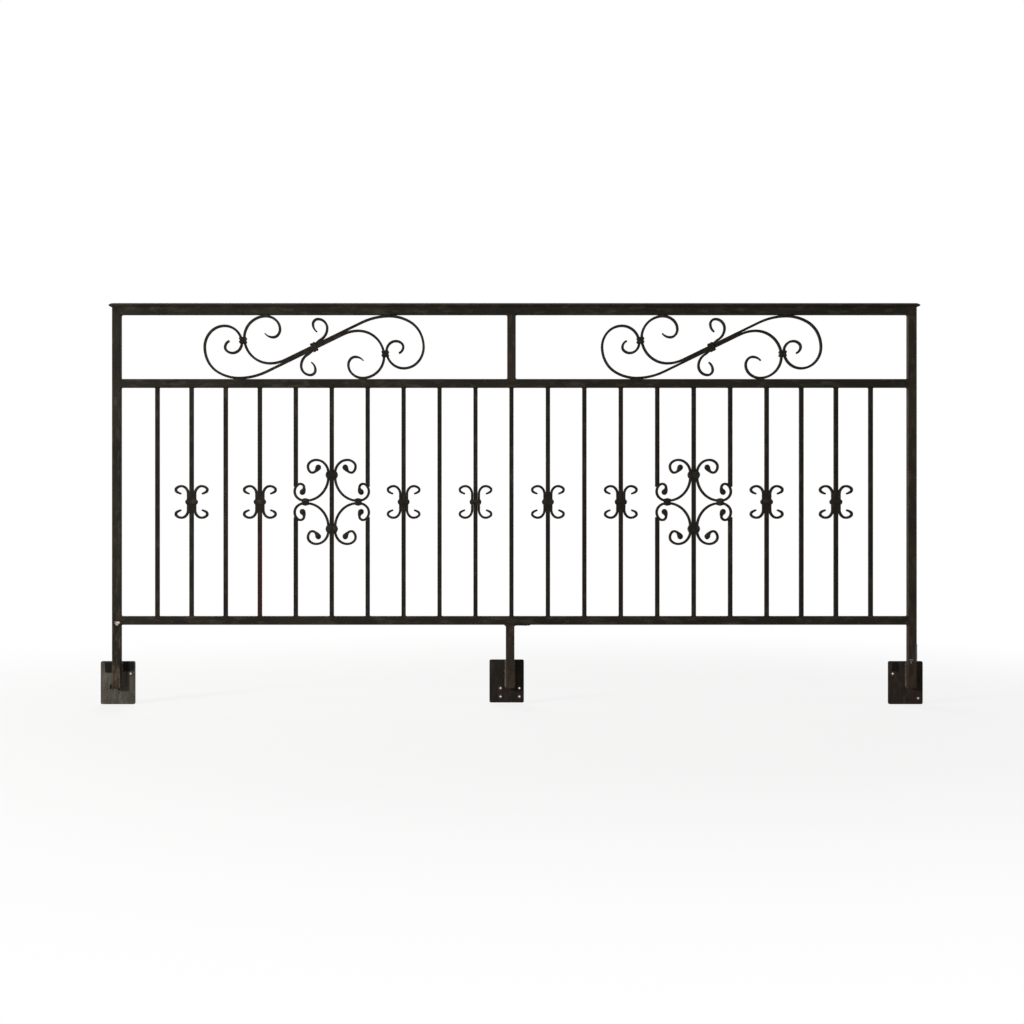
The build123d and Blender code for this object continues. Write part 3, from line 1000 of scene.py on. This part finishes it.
@dataclass
class Rosettes(Scrollwork):
    """Four-part rosettes, whose scrolls end in forged knobs.

    Attributes:
        balusters: Bars that run through the rosettes.
        knobs_at: Knobs of one quarter: across and up from the middle, and angle of the bar in degrees.
        knob: Half sizes of a knob along its bar, through the panel and across its bar.
        knob_faces: Faces round a knob and from end to end.
        dent: Depth of the hammer's dents, as a share of the knob.
        dent_pitch: How often it is dented across its radius.
        dent_shift: How fast the dents change from knob to knob, to the metre.
    """

    scrolls: tuple[str, ...] = ("rosette_scrolls",)
    collars: str = "rosette_collars"
    balusters: tuple[str, ...] = ("baluster_06", "baluster_16")
    knobs_at: tuple[tuple[float, float, float], ...] = (
        (41.0 * MM, 103.6 * MM, 65.0),
        (87.9 * MM, 30.1 * MM, -125.0),
    )
    knob: tuple[float, float, float] = (9.6 * MM, 8.0 * MM, 8.7 * MM)
    knob_faces: tuple[int, int] = (28, 18)
    dent: float = 0.07
    dent_pitch: float = 2.3
    dent_shift: float = 40.0

    def knobs(self, forging: PaintedIron) -> None:
        """Forge a knob on each end of each scroll.

        Args:
            forging: Finish of hammered bar.
        """
        mesh = bmesh.new()
        quarters = [(side, way) for side in (-1, 1) for way in (-1, 1)]
        for baluster in self.balusters:
            low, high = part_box(baluster)
            middle = (low + high) / 2
            for side, way in quarters:
                for across, up, turn in self.knobs_at:
                    offset = Vector((side * across, 0, way * up))
                    angle = math.radians(turn if side < 0 else 180 - turn)
                    self.forge(mesh, middle + offset, angle if way > 0 else -angle)
        add_piece("rosette_knobs", mesh, forging.material())

    def forge(self, mesh: Mesh, centre: Vector, angle: float) -> None:
        """Forge one knob, a ball drawn out along its bar and dented by the hammer.

        Args:
            mesh: Mesh that takes it.
            centre: Its middle.
            angle: Direction of its bar in the panel, in radians.
        """
        around, along = self.knob_faces
        made = bmesh.ops.create_uvsphere(mesh, u_segments=around, v_segments=along, radius=1.0)
        turn = Matrix.Rotation(-angle, 3, "Y")
        for vert in made["verts"]:
            dent = 1 + self.dent * noise.noise(vert.co * self.dent_pitch + centre * self.dent_shift)
            shaped = Vector(c * s * dent for c, s in zip(vert.co, self.knob))
            vert.co = centre + turn @ shaped


@dataclass
class BalusterScrolls(Scrollwork):
    """Pairs of C-scrolls on single balusters, with their collars."""

    scrolls: tuple[str, ...] = ("baluster_scrolls",)
    collars: str = "baluster_collars"


@dataclass
class Feet:
    """Legs on their fixing plates.

    Attributes:
        legs: Standing tube of each plate.
        holes: Bolt holes of each plate, across and up from its middle.
        plugged: Places in that list of the holes that dirt has packed.
        dark_patch: Dark patches: plate, place across and up from its middle, half width and half height.
        hole_reach: How far rust has spread round a hole.
        foot_reach: How far rust has spread round a leg's foot.
        edge_radius: Radius of the plates' edges.
        bead: Radius of the welds along the legs.
        spatter: Drops of weld metal beside each leg.
        near: Least distance of a drop from its leg.
        spread: How much further a drop may lie.
        climb: Height of the drops, as a share of the weld: its middle, and how far they stray.
        drop: Least radius of a drop.
        growth: How much larger a drop may be.
        strewn: Steps of the random places, from drop to drop, along the panel and in depth.
        seed: Seed of those places, which keeps them the same in every run.
        ring: Radius of the ring of rust round a hole.
        ring_bead: Thickness of that ring, from its middle.
        ring_sides: Corners of that ring.
        ring_ripple: Spacing of its crusts.
        ring_sink: Depth of the back rings under the plate's back, in thicknesses.
        ring_faces: Faces round its section.
        plug: Half sizes of the dirt packed in a hole.
    """

    legs: dict[str, str] = field(
        default_factory=lambda: {
            "left_plate": "left_post",
            "centre_plate": "centre_leg",
            "right_plate": "right_post",
        }
    )
    holes: tuple[tuple[str, float, float], ...] = (
        ("left_plate", 38.5 * MM, 27 * MM),
        ("left_plate", -38.5 * MM, -21.5 * MM),
        ("left_plate", -38.5 * MM, -47 * MM),
        ("centre_plate", 38.5 * MM, -21.5 * MM),
        ("centre_plate", 38.5 * MM, -47 * MM),
        ("centre_plate", -18.5 * MM, -21.5 * MM),
        ("centre_plate", -18.5 * MM, -47 * MM),
        ("right_plate", -38.5 * MM, 27 * MM),
        ("right_plate", 38.5 * MM, -47 * MM),
    )
    plugged: tuple[int, ...] = (1, 2)
    # Dark patches painted on the plates
    dark_patch: tuple[tuple[str, float, float, float, float], ...] = (
        ("left_plate", -28 * MM, 46 * MM, 15 * MM, 20 * MM),
        ("left_plate", 30 * MM, 48 * MM, 24 * MM, 17 * MM),
        ("left_plate", -14 * MM, -12 * MM, 13 * MM, 8 * MM),
        ("right_plate", -31 * MM, 48 * MM, 13 * MM, 17 * MM),
    )
    hole_reach: float = 15 * MM
    foot_reach: float = 30 * MM
    edge_radius: float = 0.8 * MM
    bead: float = 3.6 * MM
    spatter: int = 14
    near: float = 5.0 * MM
    spread: float = 14.0 * MM
    climb: tuple[float, float] = (0.5, 0.6)
    drop: float = 0.5 * MM
    growth: float = 0.8 * MM
    strewn: tuple[float, float, float] = (3.1, 7.3, 0.5)
    seed: int = 5
    ring: float = 4.3 * MM
    ring_bead: float = 2.2 * MM
    ring_sides: int = 24
    ring_ripple: float = 2.6 * MM
    ring_sink: float = 1.2
    ring_faces: int = 8
    plug: tuple[float, float, float] = (4.2 * MM, 2.9 * MM, 4.2 * MM)

    def rust_spots(self) -> tuple[Spot, ...]:
        """Find the bolt holes and the legs' feet, where rust starts.

        Returns:
            Rust at each of them.
        """
        found = []
        for plate, across, up in self.holes:
            low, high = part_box(plate)
            centre = (low + high) / 2 + Vector((across, 0, up))
            found.append(Spot(tuple(centre), (self.hole_reach,) * 3))
        for leg in self.legs.values():
            low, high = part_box(leg)
            found.append(Spot(((low.x + high.x) / 2, high.y, low.z), (self.foot_reach,) * 3))
        return tuple(found)

    def dark_patch_spots(self) -> tuple[Spot, ...]:
        """Place the dark patches painted on the plates.

        Returns:
            All of them.
        """
        found = []
        for plate, across, up, wide, tall in self.dark_patch:
            low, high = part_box(plate)
            middle = (low + high) / 2
            centre = (middle.x + across, low.y, middle.z + up)
            found.append(Spot(centre, (wide, high.y - low.y, tall), Form.SQUARE))
        return tuple(found)

    def paint(self, plates: dict[str, PaintedIron], edge: PaintedIron) -> None:
        """Paint the plates, each in its own finish, with rubbed edges that are paler as a painted
        highlight.
        """
        for node, finish in plates.items():
            dress(node, finish, edge, self.edge_radius)

    def weld(self, finish: PaintedIron) -> None:
        """Weld each leg to its plate down both sides and across its foot.

        Args:
            finish: Finish of the welds.
        """
        welds = WeldRun("foot_welds")
        noise.seed_set(self.seed)
        for plate, leg in self.legs.items():
            low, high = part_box(leg)
            face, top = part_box(plate)[0].y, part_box(plate)[1].z
            left = [Vector((low.x, face, top)), Vector((low.x, face, low.z))]
            right = [Vector((high.x, face, low.z)), Vector((high.x, face, top))]
            for path in (left, right, [left[-1], right[0]]):
                welds.bead(path, Y, self.bead)
            self.splash(welds, low, high, face, top)
        welds.finish(finish.material(), "painted_plate")

    def splash(self, welds: WeldRun, low: Vector, high: Vector, face: float, top: float) -> None:
        """Scatter drops of weld metal on a plate beside its leg.

        Args:
            welds: Piece that the drops join.
            low: Lowest corner of the leg.
            high: Highest corner of the leg.
            face: Depth of the plate's front face.
            top: Height of the plate's top edge.
        """
        step, shift, depth = self.strewn
        middle, stray = self.climb
        for index in range(self.spatter):
            wander = noise.noise_vector(Vector((index * step, low.x * shift, depth)))
            side = low.x if index % 2 else high.x
            away = self.near + abs(wander.x) * self.spread
            x = side + math.copysign(away, side - (low.x + high.x) / 2)
            z = low.z + (middle + stray * wander.z) * (top - low.z)
            size = self.drop + self.growth * abs(wander.y)
            welds.lump(Vector((x, face, z)), (size, size, size))

    def scale(self, rust: PaintedIron, dirt: PaintedIron) -> None:
        """Grow rings of rust round the bolt holes, and pack dirt in those that were never used.

        Args:
            rust: Finish of the rings.
            dirt: Finish of the packed dirt.
        """
        rings = WeldRun("hole_rust", ripple=self.ring_ripple, sides=self.ring_faces)
        plugs = WeldRun("hole_dirt")
        turns = [2 * math.pi * index / self.ring_sides for index in range(self.ring_sides)]
        for number, (plate, across, up) in enumerate(self.holes):
            low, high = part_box(plate)
            centre = (low + high) / 2 + Vector((across, 0, up))
            for y in (low.y, high.y - self.ring_sink * self.ring_bead):
                path = [
                    Vector((centre.x + self.ring * math.cos(t), y, centre.z + self.ring * math.sin(t)))
                    for t in turns
                ]
                rings.bead(path, Y, self.ring_bead, closed=True)
            if number in self.plugged:
                plugs.lump(centre, self.plug)
        rings.finish(rust.material(), "painted_plate")
        plugs.finish(dirt.material(), "painted_plate")


@dataclass(frozen=True)
class Lamp:
    """A square soft lamp.

    Attributes:
        name: Name of the lamp.
        place: Where it hangs.
        side: Side of its face.
        power: Its power in watts.
    """

    name: str
    place: tuple[float, float, float]
    side: float
    power: float

    def hang(self, target: Vector) -> None:
        """Hang the lamp.

        Args:
            target: What it is aimed at.
        """
        light = bpy.data.lights.new(self.name, "AREA")
        light.size = self.side
        light.energy = self.power
        lamp = bpy.data.objects.new(self.name, light)
        lamp.location = self.place
        lamp.rotation_euler = (target - Vector(self.place)).to_track_quat("-Z", "Y").to_euler()
        lamp.visible_camera = False
        bpy.context.scene.collection.objects.link(lamp)


@dataclass
class Studio:
    """Pale floor, soft light, and the camera at the place that the photograph was taken from.

    Attributes:
        floor_side: Side of the floor.
        floor_colour: Colour of the floor where it lights the railing.
        floor_roughness: Roughness of the floor.
        floor_white: Share of plain white in the floor as it is seen near the railing.
        near_radius: Distance from the railing at which the floor starts to fade.
        clear_radius: Distance at which it has faded into the background.
        white: Colour of the background.
        sky_colour: Colour of the even light.
        sky_light: Strength of the even light.
        lamps: The main lamp at the left, and weak ones at the right, overhead and behind.
        distance: Distance of the camera from the panel.
        camera_x: Place of the camera along the panel.
        camera_z: Height of the camera.
        lens: Focal length in millimetres on a sensor of 36 mm.
        shift: Sideways shift of the lens that the photograph's framing needs.
        far: Distance beyond which the camera sees nothing.
    """

    floor_side: float = 60.0
    floor_colour: str = "#c4c2be"
    floor_roughness: float = 0.9
    floor_white: float = 0.82
    near_radius: float = 3.2 / 3
    clear_radius: float = 3.2
    white: str = "#ffffff"
    sky_colour: str = "#f4f6fa"
    sky_light: float = 0.2
    lamps: tuple[Lamp, ...] = (
        Lamp("main_lamp", (-4.6, -3.8, 1.7), 0.8, 340.0),
        Lamp("side_lamp", (4.5, -4.0, 2.2), 2.4, 10.0),
        Lamp("top_lamp", (-0.6, -0.6, 4.6), 2.4, 40.0),
        Lamp("back_lamp", (-1.5, 4.5, 2.6), 2.4, 150.0),
    )
    distance: float = 4.8318
    camera_x: float = -0.15
    camera_z: float = 0.5108
    lens: float = 56.14
    shift: float = 0.0464
    far: float = 100.0

    def looked_at(self, tree: Tree) -> Socket:
        """Tell what the camera sees, also in reflections and through glass, from what only lights.

        Args:
            tree: Node tree of the floor or of the world.

        Returns:
            1 for a ray that is looked at, 0 for one that only lights.
        """
        rays = add_node(tree, "LightPath").outputs
        direct = {0: rays["Is Camera Ray"], 1: rays["Is Glossy Ray"]}
        seen = add_node(tree, "Math", {"operation": "MAXIMUM"}, direct).outputs[0]
        through = {0: seen, 1: rays["Is Transmission Ray"]}
        return add_node(tree, "Math", {"operation": "MAXIMUM"}, through).outputs[0]

    def floor(self, level: float) -> None:
        """Lay the floor, which is seen as pale as the background but keeps soft shadows.

        Args:
            level: Height of the floor.
        """
        half = self.floor_side / 2
        corners = [(x * half, y * half, level) for x, y in ((-1, -1), (1, -1), (1, 1), (-1, 1))]
        data = bpy.data.meshes.new("floor")
        data.from_pydata(corners, [], [(0, 1, 2, 3)])
        piece = bpy.data.objects.new("floor", data)
        bpy.context.scene.collection.objects.link(piece)

        material, tree = blank("pale_floor")
        place = add_node(tree, "TexCoord").outputs["Object"]
        away = add_node(tree, "VectorMath", {"operation": "LENGTH"}, {0: place})
        fade = add_node(
            tree,
            "MapRange",
            {
                "interpolation_type": "SMOOTHSTEP",
                "From Min": self.near_radius,
                "From Max": self.clear_radius,
                "To Min": self.floor_white,
                "To Max": 1.0,
            },
            {"Value": away.outputs["Value"]},
        )
        seen = add_node(
            tree, "Math", {"operation": "MULTIPLY"}, {0: fade.outputs["Result"], 1: self.looked_at(tree)}
        )
        matt = add_node(
            tree,
            "BsdfPrincipled",
            {"Base Color": linear(self.floor_colour), "Roughness": self.floor_roughness},
        )
        glow = add_node(tree, "Emission", {"Color": linear(self.white), "Strength": 1.0})
        surface = add_node(
            tree,
            "MixShader",
            links={0: seen.outputs[0], 1: matt.outputs["BSDF"], 2: glow.outputs["Emission"]},
        )
        add_node(tree, "OutputMaterial", links={"Surface": surface.outputs[0]})
        data.materials.append(material)

    def sky(self) -> None:
        """Set a white background over an even, dimmer light."""
        world = bpy.data.worlds.new("studio")
        world.use_nodes = True
        tree = world.node_tree
        tree.nodes.clear()
        soft = add_node(
            tree, "Background", {"Color": linear(self.sky_colour), "Strength": self.sky_light}
        )
        plain = add_node(tree, "Background", {"Color": linear(self.white), "Strength": 1.0})
        surface = add_node(
            tree, "MixShader", links={0: self.looked_at(tree), 1: soft.outputs[0], 2: plain.outputs[0]}
        )
        add_node(tree, "OutputWorld", links={"Surface": surface.outputs[0]})
        bpy.context.scene.world = world

    def camera(self) -> None:
        """Set the camera square on to the panel."""
        data = bpy.data.cameras.new("photo_camera")
        data.lens = self.lens
        data.shift_x = self.shift
        data.clip_end = self.far
        camera = bpy.data.objects.new("photo_camera", data)
        camera.location = (self.camera_x, -self.distance, self.camera_z)
        camera.rotation_euler = (math.radians(90), 0, 0)
        bpy.context.scene.collection.objects.link(camera)
        bpy.context.scene.camera = camera


def main() -> None:
    """Dress the railing piece by piece, then set the stage."""
    logging.basicConfig(level=logging.INFO, format="%(message)s")
    bpy.context.scene.view_settings.view_transform = "Standard"

    tubes, bars, frieze = TubeFrame(), BalusterField(), Frieze()
    rosettes, scrolls, feet = Rosettes(), BalusterScrolls(), Feet()
    dabs = {"stroke": Stroke.DABBED}
    bar_ends, bare_half = bars.rust_spots()
    legs = {"rust_level": 0.62, "rust_run": 0.5, "bloom_mm": 9.0, "rust_spots": tubes.rust_spots()}
    plate = {"cloud_mm": 45.0, "rust_spots": feet.rust_spots(), "dark_patch_spots": feet.dark_patch_spots()}
    stain = {"rust": "#33201a", "fresh_rust": "#4a2f22", "bloom_mm": 24.0, "rust_level": 0.62, **plate}

    # Brushed paint on tube: near-black, with faint strokes along it and rust streaks at the feet
    rail = PaintedIron("brush_painted_rail", "#1a1712", "#2b2720", stroke=Stroke.ALONG_RAIL)
    post = PaintedIron(
        "brush_painted_post", "#191611", "#2b2720", rust="#372d24", fresh_rust="#574b3f", **legs
    )
    # The same paint with rust staining it from beneath: a warmer, paler brown
    brown_post = PaintedIron(
        "browned_post", "#241e18", "#372e26", "#40362d", rust="#2b221b", fresh_rust="#46392f", **legs
    )
    # Brushed paint on bar: darker than the tube, rusty at the welds
    bar = PaintedIron("brush_painted_bar", "#161310", "#25211b", "#342f27", rust_spots=bar_ends)
    # A bar that has lost its paint below: dull red rust
    worn_bar = PaintedIron(
        "weathered_red_bar",
        "#161310",
        "#25211b",
        "#38322a",
        rust="#291613",
        fresh_rust="#3a201b",
        rust_pull=0.6,
        rust_spots=bare_half,
    )
    # Paint on hammered bar: shallow dents break its dull sheen
    forging = PaintedIron(
        "painted_hammered_bar", "#171411", "#27221c", "#38322a", dent_mm=9.0, rust_level=0.7, **dabs
    )
    # Paint rubbed thin on edges: a slightly paler line that is also a painted highlight
    edge = PaintedIron("rubbed_edge_painted_highlight", "#1f1b16", "#322d25", rust_level=0.64)
    # Weld beads: painted over, worn to grey brown at the feet, and pale grey on the right post as a
    # painted highlight
    weld = PaintedIron("painted_weld_bead", "#1c1914", "#37322a", rust_level=0.6, **dabs)
    worn_weld = PaintedIron("worn_weld_bead", "#484036", "#877d6f", rust_level=0.58, **dabs)
    weld_highlight = PaintedIron("pale_weld_painted_highlight", "#575658", "#7b7a7b", "#8a8989", rust_level=0.8, **dabs)
    # Painted plates: one a paler grey with dark patches painted on it, two stained by rust
    pale_plate = PaintedIron("paler_grey_plate", "#3a3731", "#524e47", "#5c5850", **plate)
    dark_plate = PaintedIron("weathered_plate", "#1b1714", "#2a2520", "#332b24", **stain)
    brown_plate = PaintedIron("browned_plate", "#231d19", "#362e28", "#40362e", **stain)
    # Rust scale and dried dirt: no paint left, only coarse grain
    scale = PaintedIron("rust_scale", rust="#43302a", fresh_rust="#6f584d", rust_level=-1.0, **dabs)
    dirt = PaintedIron("packed_dirt", rust="#463d33", fresh_rust="#857868", rust_level=-1.0, **dabs)

    tubes.paint(rail, post, brown_post, edge)
    tubes.weld(weld)
    tubes.bare_weld(BareWeld(), weld_highlight)
    bars.paint(bar, worn_bar, edge)
    bars.weld(weld)
    frieze.paint(forging, edge)
    frieze.weld(weld)
    rosettes.paint(forging, edge)
    rosettes.knobs(forging)
    scrolls.paint(forging, edge)
    feet.paint({"left_plate": pale_plate, "centre_plate": dark_plate, "right_plate": brown_plate}, edge)
    feet.weld(worn_weld)
    feet.scale(scale, dirt)

    low, high = CAD_BOX
    studio = Studio()
    studio.floor(low.z)
    studio.sky()
    for lamp in studio.lamps:
        lamp.hang((low + high) / 2)
    studio.camera()

    LOG.info("railing finished")


if __name__ == "__main__":
    main()
